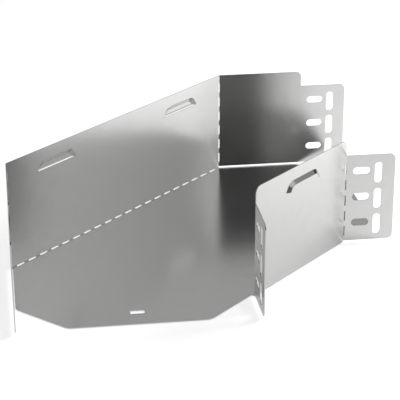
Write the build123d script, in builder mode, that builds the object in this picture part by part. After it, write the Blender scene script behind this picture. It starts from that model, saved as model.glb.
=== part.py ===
from build123d import *
from math import floor, radians, sin, sqrt, tan
import os

# A cable tray bend of 90 degrees, folded from one sheet.
# +Z is up and the floor's underside is z = 0. The origin is the middle of the part's outer box in plan.
# One port opens to the front (-Y) and one to the side (+X). The upright plane x + y = 0 halves the turn,
# and the part is the same on both sides of it.

# Sheet and folds
sheet = 0.8                # thickness
bend_radius = 1.0          # inside radius of every fold

# Plan
tray_width = 200.0         # outside width of the trays that the bend joins
side_clearance = 0.9       # between a tray's side and the bend's wall
inner_leg = 99.6           # inner diagonal wall, measured along a port's direction
wing_length = 84.2         # straight stretch of the outer wall, from its diagonal to the port
tongue_length = 45.5       # past the port

# Heights
wall_height = 100.0        # above the floor's underside
wall_base = 2.3            # lower edge of wings and tongues, which stand clear of the floor
tongue_drop = 15.0         # top of the tongues below the top of the walls

# Floor
floor_setback = 1.4        # from the middle of a wing to the floor's edge beside it
floor_notch = 3.65         # from the inner diagonal to the slanted edge that runs on from it
tab_length = 37.3          # floor past the port
floor_corner = 10.0        # radius of the floor's free corners
tab_slot_length = 12.0
tab_slot_width = 6.0
tab_slot_reach = 15.8      # middle of the slot past the port

# Free corners of the walls
tongue_corner = 5.0
wing_corner = 5.0
inner_corner = 5.5

# Bolt slots in each tongue: a column of level ones, and one of upright ones further out
bolt_slot_width = 7.0
bolt_slot_pitch = 25.0
bolt_slot_margin = 5.0     # least distance from a column's end to the tongue's edge
bolt_slot_stagger = 1.25   # level column above the middle of the tongue, upright column below it
level_slot_length = 16.0
level_slot_reach = 14.6    # middle of the column past the port
upright_slot_length = 20.0
upright_slot_reach = 30.3

# Short slots along every fold, so that the sheet bends where it should
fold_slot_length = 9.8
fold_slot_width = 1.3
fold_slot_pitch = 15.0
fold_slot_margin = 5.0     # least distance from a row's end to the end of the fold
fold_slot_drop = 0.75      # upright rows below the middle of their fold

# Lances that hold the cover: slit along a straight line and pushed outward above it
lance_length = 52.5
lance_height = 9.0
lance_depth = 2.35
lance_drop = 20.0          # slit below the top of the wall
lance_end_angle = 60.0     # between the slit and the slanted ends
lance_corner = 10.0
lance_end_slope = 4.3      # width of the sloping band at its ends
lance_top_slope = 3.7      # width of the sloping band along its top
lance_rounding = 0.8       # inside radius between the sloping band and the crest
outer_lance_inset = 38.05  # from each end of the outer diagonal to the nearer lance

# What follows from these sizes. Walls are placed by the middle of the sheet.
mid_radius = bend_radius + sheet / 2
turn_tangent = mid_radius * tan(radians(45 / 2))
channel = tray_width + 2 * side_clearance + sheet
outer_leg = inner_leg + channel - wing_length
outer_diagonal = sqrt(2) * outer_leg
inner_diagonal = sqrt(2) * inner_leg
tongue_top = wall_height - tongue_drop
span = outer_leg + wing_length + tongue_length + sheet / 2
end_y = -span / 2
port_y = end_y + tongue_length
outer_x = (sheet - span) / 2
inner_x = outer_x + channel

# Directions
up = Vector(0, 0, 1)
front = Vector(0, -1, 0)
side = Vector(1, 0, 0)
along = Vector(1, 1, 0).normalized()      # along both diagonals, from the front port to the side port
inward = Vector(1, -1, 0).normalized()    # from the outer diagonal to the inner one


def across(point):
    """The place near the side port that matches a place near the front port."""
    return Vector(-point.Y, -point.X)


# Places in plan
outer_port = Vector(outer_x, port_y)
port_middle = Vector(outer_x + channel / 2, port_y)
outer_turn = Vector(outer_x, port_y + wing_length)
inner_turn = Vector(inner_x, port_y)
outer_middle = (outer_turn + across(outer_turn)) / 2
inner_middle = (inner_turn + across(inner_turn)) / 2


def rail(end, turn, height):
    """Plan of a wall that runs from one port to the other and turns twice."""
    with BuildSketch(Plane.XY.offset(height)) as plan:
        with BuildLine():
            FilletPolyline(end, turn, across(turn), across(end), radius=mid_radius)
        trace(line_width=sheet)
    return plan.sketch


def floor_outline():
    """The floor up to where its folds begin, with a tab past each port."""
    slant = tab_length + sqrt(2) * floor_notch
    edge_x = outer_x + floor_setback
    tab_y = port_y - tab_length
    fold_end = inner_turn + along * turn_tangent
    half = [
        (Vector(edge_x, outer_turn.Y + floor_setback - sqrt(2) * mid_radius), 0),
        (Vector(edge_x, tab_y + slant - floor_setback), floor_corner),
        (Vector(outer_x + slant, tab_y), floor_corner),
        (Vector(inner_x - slant, tab_y), floor_corner),
        (fold_end - inward * floor_notch, 0),
        (fold_end - inward * mid_radius, 0),
    ]
    points = [point for point, radius in half]
    radii = [radius for point, radius in half]
    with BuildSketch() as plan:
        with BuildLine():
            FilletPolyline(
                points, [across(point) for point in reversed(points)], radius=radii + radii[::-1], close=True
            )
        make_face()
    return plan.sketch


def floor_fold(middle, length, inwards):
    """Section of the fold from the floor up into a diagonal wall, drawn at the fold's front end."""
    start = middle - along * length / 2
    with BuildSketch(Plane(origin=start, x_dir=inwards, z_dir=inwards.cross(up))) as section:
        with BuildLine():
            FilletPolyline(
                (3 * mid_radius, sheet / 2), (0, sheet / 2), (0, wall_base + sheet), radius=mid_radius
            )
        trace(line_width=sheet)
    return section.sketch


def lance_outline(plane, end_inset, top_inset):
    """Outline of a lance above its slit, drawn in by the width of its sloping band."""
    end_angle = radians(lance_end_angle)
    height = lance_height - top_inset
    foot = lance_length / 2 - end_inset / sin(end_angle)
    shoulder = foot - height / tan(end_angle)
    top_left, top_right = (-shoulder, height), (shoulder, height)
    with BuildSketch(plane) as outline:
        with BuildLine():
            FilletPolyline((-foot, 0), top_left, top_right, (foot, 0), radius=lance_corner - top_inset)
            Line((foot, 0), (-foot, 0))
        make_face()
    return outline.sketch


def fits(length, slot, pitch, margin):
    """How many slots a row of this length takes."""
    return floor((length - slot - 2 * margin) / pitch) + 1


def fold_slots(middle, row, square_on, length):
    """A row of short slots centred on a fold, in the plane that halves its angle."""
    count = fits(length, fold_slot_length, fold_slot_pitch, fold_slot_margin)
    with BuildSketch(Plane(origin=middle, x_dir=row, z_dir=square_on)) as slots:
        with GridLocations(fold_slot_pitch, fold_slot_pitch, count, 1):
            Rectangle(fold_slot_length, fold_slot_width)
    return slots.sketch


def corner_edges(part, axis):
    """Edges that run through the sheet along this axis."""
    return part.edges().filter_by(axis).filter_by(lambda edge: abs(edge.length - sheet) < sheet / 100)


with BuildPart() as tray_bend:
    # Both walls up to the top of their tongues, then the taller stretches between the ports
    extrude(rail(Vector(outer_x, end_y), outer_turn, wall_base), amount=tongue_top - wall_base)
    extrude(rail(Vector(inner_x, end_y), inner_turn, wall_base), amount=tongue_top - wall_base)
    extrude(rail(outer_port, outer_turn, tongue_top), amount=tongue_drop)
    with BuildSketch(Plane(origin=inner_middle + up * tongue_top, x_dir=along, z_dir=inward)):
        Rectangle(inner_diagonal, tongue_drop, align=(Align.CENTER, Align.MIN))
    extrude(amount=sheet / 2, both=True)

    # Free corners of the walls
    for port, thickness in ((front, Axis.X), (side, Axis.Y)):
        fillet(corner_edges(tray_bend, thickness).group_by(Axis((0, 0, 0), port))[-1], radius=tongue_corner)
        fillet(corner_edges(tray_bend, thickness).group_by(Axis.Z)[-1], radius=wing_corner)
    fillet(corner_edges(tray_bend, Axis((0, 0, 0), inward)).group_by(Axis.Z)[-1], radius=inner_corner)

    # Floor, its folds up into the diagonal walls, and the slot in each tab
    extrude(floor_outline(), amount=sheet)
    outer_fold = outer_diagonal - 2 * (sqrt(2) * floor_setback - mid_radius)
    inner_fold = inner_diagonal - 2 * turn_tangent
    extrude(floor_fold(outer_middle, outer_fold, inward), amount=outer_fold, dir=along)
    extrude(floor_fold(inner_middle, inner_fold, -inward), amount=inner_fold, dir=along)
    ports = [
        Plane(origin=port_middle, x_dir=front, z_dir=up),
        Plane(origin=across(port_middle), x_dir=side, z_dir=up),
    ]
    with BuildSketch(*ports):
        with Locations((tab_slot_reach, 0)):
            Rectangle(tab_slot_width, tab_slot_length)
    extrude(amount=sheet, mode=Mode.SUBTRACT)

    # Lances: a tapered swelling on the outer face, hollowed by the same shape one sheet further in
    lance_offset = outer_diagonal / 2 - outer_lance_inset - lance_length / 2
    for middle, outward in (
        (outer_middle - along * lance_offset, -inward),
        (outer_middle + along * lance_offset, -inward),
        (inner_middle, inward),
    ):
        slit = middle + up * (wall_height - lance_drop)
        outer_face = Plane(origin=slit + outward * sheet / 2, x_dir=up.cross(outward), z_dir=outward)
        for face, rounding, mode in (
            (outer_face, lance_rounding + sheet, Mode.ADD),
            (outer_face.offset(-sheet), lance_rounding, Mode.SUBTRACT),
        ):
            foot = lance_outline(face, 0, 0)
            crest = lance_outline(face.offset(lance_depth), lance_end_slope, lance_top_slope)
            with BuildPart(mode=mode) as swelling:
                loft([foot, crest], ruled=True)
                rim = swelling.faces().sort_by(Axis(slit, outward))[-1].edges()
                fillet(rim.filter_by(lambda edge: edge.center().Z > slit.Z + sheet / 2), radius=rounding)

    # Bolt slots in the four tongues
    tongues = [
        Plane(origin=place, x_dir=port, z_dir=port.cross(up))
        for place, port in (
            (outer_port, front),
            (inner_turn, front),
            (across(outer_port), side),
            (across(inner_turn), side),
        )
    ]
    rows = fits(tongue_top - wall_base, upright_slot_length, bolt_slot_pitch, bolt_slot_margin)
    tongue_middle = (wall_base + tongue_top) / 2
    with BuildSketch(*tongues):
        with Locations((level_slot_reach, tongue_middle + bolt_slot_stagger)):
            with GridLocations(bolt_slot_pitch, bolt_slot_pitch, 1, rows):
                SlotOverall(level_slot_length, bolt_slot_width)
        with Locations((upright_slot_reach, tongue_middle - bolt_slot_stagger)):
            with GridLocations(bolt_slot_pitch, bolt_slot_pitch, 1, rows):
                SlotOverall(upright_slot_length, bolt_slot_width, rotation=90)
    extrude(amount=sheet, both=True, mode=Mode.SUBTRACT)

    # Short slots along the two floor folds and the four upright ones
    mid_floor = up * sheet / 2
    mid_wing = up * (wall_height / 2 - fold_slot_drop)
    mid_tongue = up * (tongue_top / 2 - fold_slot_drop)
    for middle, row, square_on, length in (
        (outer_middle + mid_floor, along, up + inward, outer_diagonal),
        (inner_middle + mid_floor, along, up - inward, inner_diagonal),
        (outer_turn + mid_wing, up, (along - front).cross(up), wall_height),
        (inner_turn + mid_tongue, up, (along - front).cross(up), tongue_top),
        (across(outer_turn) + mid_wing, up, (along + side).cross(up), wall_height),
        (across(inner_turn) + mid_tongue, up, (along + side).cross(up), tongue_top),
    ):
        extrude(
            fold_slots(middle, row, square_on, length), amount=2 * mid_radius, both=True, mode=Mode.SUBTRACT
        )

os.makedirs("parts", exist_ok=True)
tray_bend.part.label = "tray_bend"
export_step(tray_bend.part, "parts/tray_bend.step")
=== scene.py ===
from math import cos, radians, sin

import bpy
from mathutils import Matrix, Vector

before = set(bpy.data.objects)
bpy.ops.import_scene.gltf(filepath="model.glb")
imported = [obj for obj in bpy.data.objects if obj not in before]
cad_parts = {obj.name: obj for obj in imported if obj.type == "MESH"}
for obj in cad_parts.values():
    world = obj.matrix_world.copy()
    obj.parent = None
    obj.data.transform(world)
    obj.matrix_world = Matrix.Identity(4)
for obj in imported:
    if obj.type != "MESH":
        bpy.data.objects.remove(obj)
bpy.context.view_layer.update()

# Lengths are in metres and angles in degrees. An azimuth is counted from +Y towards +X.

# Camera of the photograph
CAMERA_PLACE = (-0.17842, -1.26648, 0.56571)
CAMERA_AZIMUTH = 8.04
CAMERA_DIP = 22.426              # below level
CAMERA_ROLL = -0.042
FRAME_PIXELS = 400
FOCAL_PIXELS = 1516
SENSOR_WIDTH = 36                # millimetres, as Blender counts it
NEAREST_SEEN = 0.01
FURTHEST_SEEN = 100.0

WHITE = (1.0, 1.0, 1.0, 1.0)

# Studio: soft panels in a dark room. Each has an azimuth and elevation, the reach from its middle to where it
# starts to fade, the reach to where it ends, and a strength. The photograph's view shows the back, right, right_low
# and top ones most. The other four mainly keep the part's other sides from going black.
PANELS = {
    "back": (11, 27, 7, 20, 0.37),
    "right": (108, 31, 13, 33, 0.57),
    "right_low": (84, 10, 3, 12, 0.28),
    "back_right": (48, 36, 6, 20, 0.4),
    "back_left": (-40, 30, 10, 34, 0.45),
    "front_left": (-120, 26, 14, 34, 0.4),
    "front": (170, 17, 4, 14, 0.07),
    "top": (0, 90, 26, 46, 0.32),
}

# Softbox above the part, which lights the floor and doesn't show in the metal
SOFTBOX_PLACE = (0.75, 0.2, 0.55)
SOFTBOX_SIZE = 0.5
SOFTBOX_POWER = 5.7

# Floor under the part
FLOOR_REACH = 6.0
FLOOR_DROP = 0.0002              # below the part's underside
FLOOR_COLOUR = (0.80, 0.80, 0.80, 1.0)
FLOOR_GLOW_SEEN = 0.69           # as the camera sees it
FLOOR_GLOW_MIRRORED = 0.22       # as the metal mirrors it

# Galvanised sheet steel, with the colour and roughness of its dark and of its pale patches
DARK_ZINC = (0.81, 0.81, 0.805, 1.0)
DARK_ROUGHNESS = 0.23
PALE_ZINC = (0.87, 0.87, 0.86, 1.0)
PALE_ROUGHNESS = 0.17
MOTTLE_SIZE = 0.009
MOTTLE_DETAIL = 3.0
GRAIN_SIZE = 0.0006
GRAIN_DETAIL = 2.0
GRAIN_DEPTH = 0.0000006


def direction(azimuth, elevation):
    """Unit vector towards a place seen from the part."""
    across, level = radians(azimuth), radians(elevation)
    return Vector((sin(across) * cos(level), cos(across) * cos(level), sin(level)))


def photo_camera():
    """Camera at the photograph's place, with its field of view."""
    lens = bpy.data.cameras.new("photo_camera")
    lens.sensor_width = SENSOR_WIDTH
    lens.lens = SENSOR_WIDTH * FOCAL_PIXELS / FRAME_PIXELS
    lens.clip_start = NEAREST_SEEN
    lens.clip_end = FURTHEST_SEEN
    camera = bpy.data.objects.new("photo_camera", lens)
    turn = Matrix.Rotation(radians(-CAMERA_AZIMUTH), 4, "Z")
    tilt = Matrix.Rotation(radians(90 - CAMERA_DIP), 4, "X")
    roll = Matrix.Rotation(radians(CAMERA_ROLL), 4, "Z")
    camera.matrix_world = Matrix.Translation(CAMERA_PLACE) @ turn @ tilt @ roll
    bpy.context.scene.collection.objects.link(camera)
    bpy.context.scene.camera = camera


def new_node(tree, kind, **settings):
    """A node of this kind, with these settings of its properties."""
    node = tree.nodes.new(kind)
    for name, value in settings.items():
        setattr(node, name, value)
    return node


def math_node(tree, operation, first, second):
    """Output of a Math node. Each input is a number or another node's output."""
    node = new_node(tree, "ShaderNodeMath", operation=operation)
    for socket, value in zip(node.inputs, (first, second)):
        if isinstance(value, bpy.types.NodeSocket):
            tree.links.new(value, socket)
        else:
            socket.default_value = value
    return node.outputs[0]


def studio_world():
    """Soft panels in a dark room for light and reflections, and plain white behind the part."""
    world = bpy.data.worlds.new("studio")
    bpy.context.scene.world = world
    world.use_nodes = True
    tree = world.node_tree
    looking = new_node(tree, "ShaderNodeTexCoord").outputs["Generated"]
    light = 0.0
    for azimuth, elevation, inner_reach, outer_reach, strength in PANELS.values():
        facing = new_node(tree, "ShaderNodeVectorMath", operation="DOT_PRODUCT")
        tree.links.new(looking, facing.inputs[0])
        facing.inputs[1].default_value = direction(azimuth, elevation)
        panel = new_node(tree, "ShaderNodeMapRange", interpolation_type="SMOOTHSTEP")
        panel.inputs["From Min"].default_value = cos(radians(outer_reach))
        panel.inputs["From Max"].default_value = cos(radians(inner_reach))
        panel.inputs["To Max"].default_value = strength
        tree.links.new(facing.outputs["Value"], panel.inputs["Value"])
        light = math_node(tree, "ADD", panel.outputs["Result"], light)
    seen = new_node(tree, "ShaderNodeLightPath").outputs["Is Camera Ray"]
    shown = new_node(tree, "ShaderNodeMix", data_type="FLOAT")
    tree.links.new(seen, shown.inputs["Factor"])
    tree.links.new(light, shown.inputs["A"])
    shown.inputs["B"].default_value = 1.0
    backdrop = tree.nodes["Background"]
    backdrop.inputs["Color"].default_value = WHITE
    tree.links.new(shown.outputs["Result"], backdrop.inputs["Strength"])


def softbox():
    """Square lamp, turned to the part from the right and above."""
    lamp = bpy.data.lights.new("softbox", "AREA")
    lamp.size = SOFTBOX_SIZE
    lamp.energy = SOFTBOX_POWER
    light = bpy.data.objects.new("softbox", lamp)
    light.location = SOFTBOX_PLACE
    light.rotation_euler = Vector(SOFTBOX_PLACE).to_track_quat("Z", "Y").to_euler()
    light.visible_glossy = False
    bpy.context.scene.collection.objects.link(light)


def pale_floor():
    """White floor that keeps the part's soft shadow."""
    mesh = bpy.data.meshes.new("studio_floor")
    signs = ((-1, -1), (1, -1), (1, 1), (-1, 1))
    corners = [(x * FLOOR_REACH, y * FLOOR_REACH, -FLOOR_DROP) for x, y in signs]
    mesh.from_pydata(corners, [], [(0, 1, 2, 3)])
    floor = bpy.data.objects.new("studio_floor", mesh)
    bpy.context.scene.collection.objects.link(floor)
    material = bpy.data.materials.new("studio_floor")
    material.use_nodes = True
    tree = material.node_tree
    surface = tree.nodes["Principled BSDF"]
    surface.inputs["Base Color"].default_value = FLOOR_COLOUR
    surface.inputs["Roughness"].default_value = 1.0
    surface.inputs["Specular IOR Level"].default_value = 0.0
    surface.inputs["Emission Color"].default_value = WHITE
    ray = new_node(tree, "ShaderNodeLightPath").outputs
    mirrored = math_node(tree, "ADD", ray["Is Glossy Ray"], ray["Is Transmission Ray"])
    mirrored = math_node(tree, "MULTIPLY", mirrored, FLOOR_GLOW_MIRRORED)
    seen = math_node(tree, "MULTIPLY", ray["Is Camera Ray"], FLOOR_GLOW_SEEN)
    tree.links.new(math_node(tree, "ADD", seen, mirrored), surface.inputs["Emission Strength"])
    mesh.materials.append(material)


def noise(tree, size, detail):
    """Cloudy noise on the part, from 0 to 1, with patches of this size."""
    clouds = new_node(tree, "ShaderNodeTexNoise")
    clouds.inputs["Scale"].default_value = 1 / size
    clouds.inputs["Detail"].default_value = detail
    tree.links.new(new_node(tree, "ShaderNodeTexCoord").outputs["Object"], clouds.inputs["Vector"])
    return clouds.outputs["Fac"]


def galvanised_steel():
    """Satin zinc-coated sheet with a faint mottle and a fine grain."""
    material = bpy.data.materials.new("galvanised_steel")
    material.use_nodes = True
    tree = material.node_tree
    surface = tree.nodes["Principled BSDF"]
    surface.inputs["Metallic"].default_value = 1.0
    mottle = noise(tree, MOTTLE_SIZE, MOTTLE_DETAIL)
    zinc = new_node(tree, "ShaderNodeMix", data_type="RGBA")
    zinc.inputs["A"].default_value = DARK_ZINC
    zinc.inputs["B"].default_value = PALE_ZINC
    tree.links.new(mottle, zinc.inputs["Factor"])
    tree.links.new(zinc.outputs["Result"], surface.inputs["Base Color"])
    satin = new_node(tree, "ShaderNodeMapRange")
    satin.inputs["To Min"].default_value = DARK_ROUGHNESS
    satin.inputs["To Max"].default_value = PALE_ROUGHNESS
    tree.links.new(mottle, satin.inputs["Value"])
    tree.links.new(satin.outputs["Result"], surface.inputs["Roughness"])
    grain = new_node(tree, "ShaderNodeBump")
    grain.inputs["Distance"].default_value = GRAIN_DEPTH
    tree.links.new(noise(tree, GRAIN_SIZE, GRAIN_DETAIL), grain.inputs["Height"])
    tree.links.new(grain.outputs["Normal"], surface.inputs["Normal"])
    return material


photo_camera()
studio_world()
softbox()
pale_floor()
steel = galvanised_steel()
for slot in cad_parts["tray_bend"].material_slots:
    slot.material = steel
bpy.context.scene.view_settings.view_transform = "Standard"
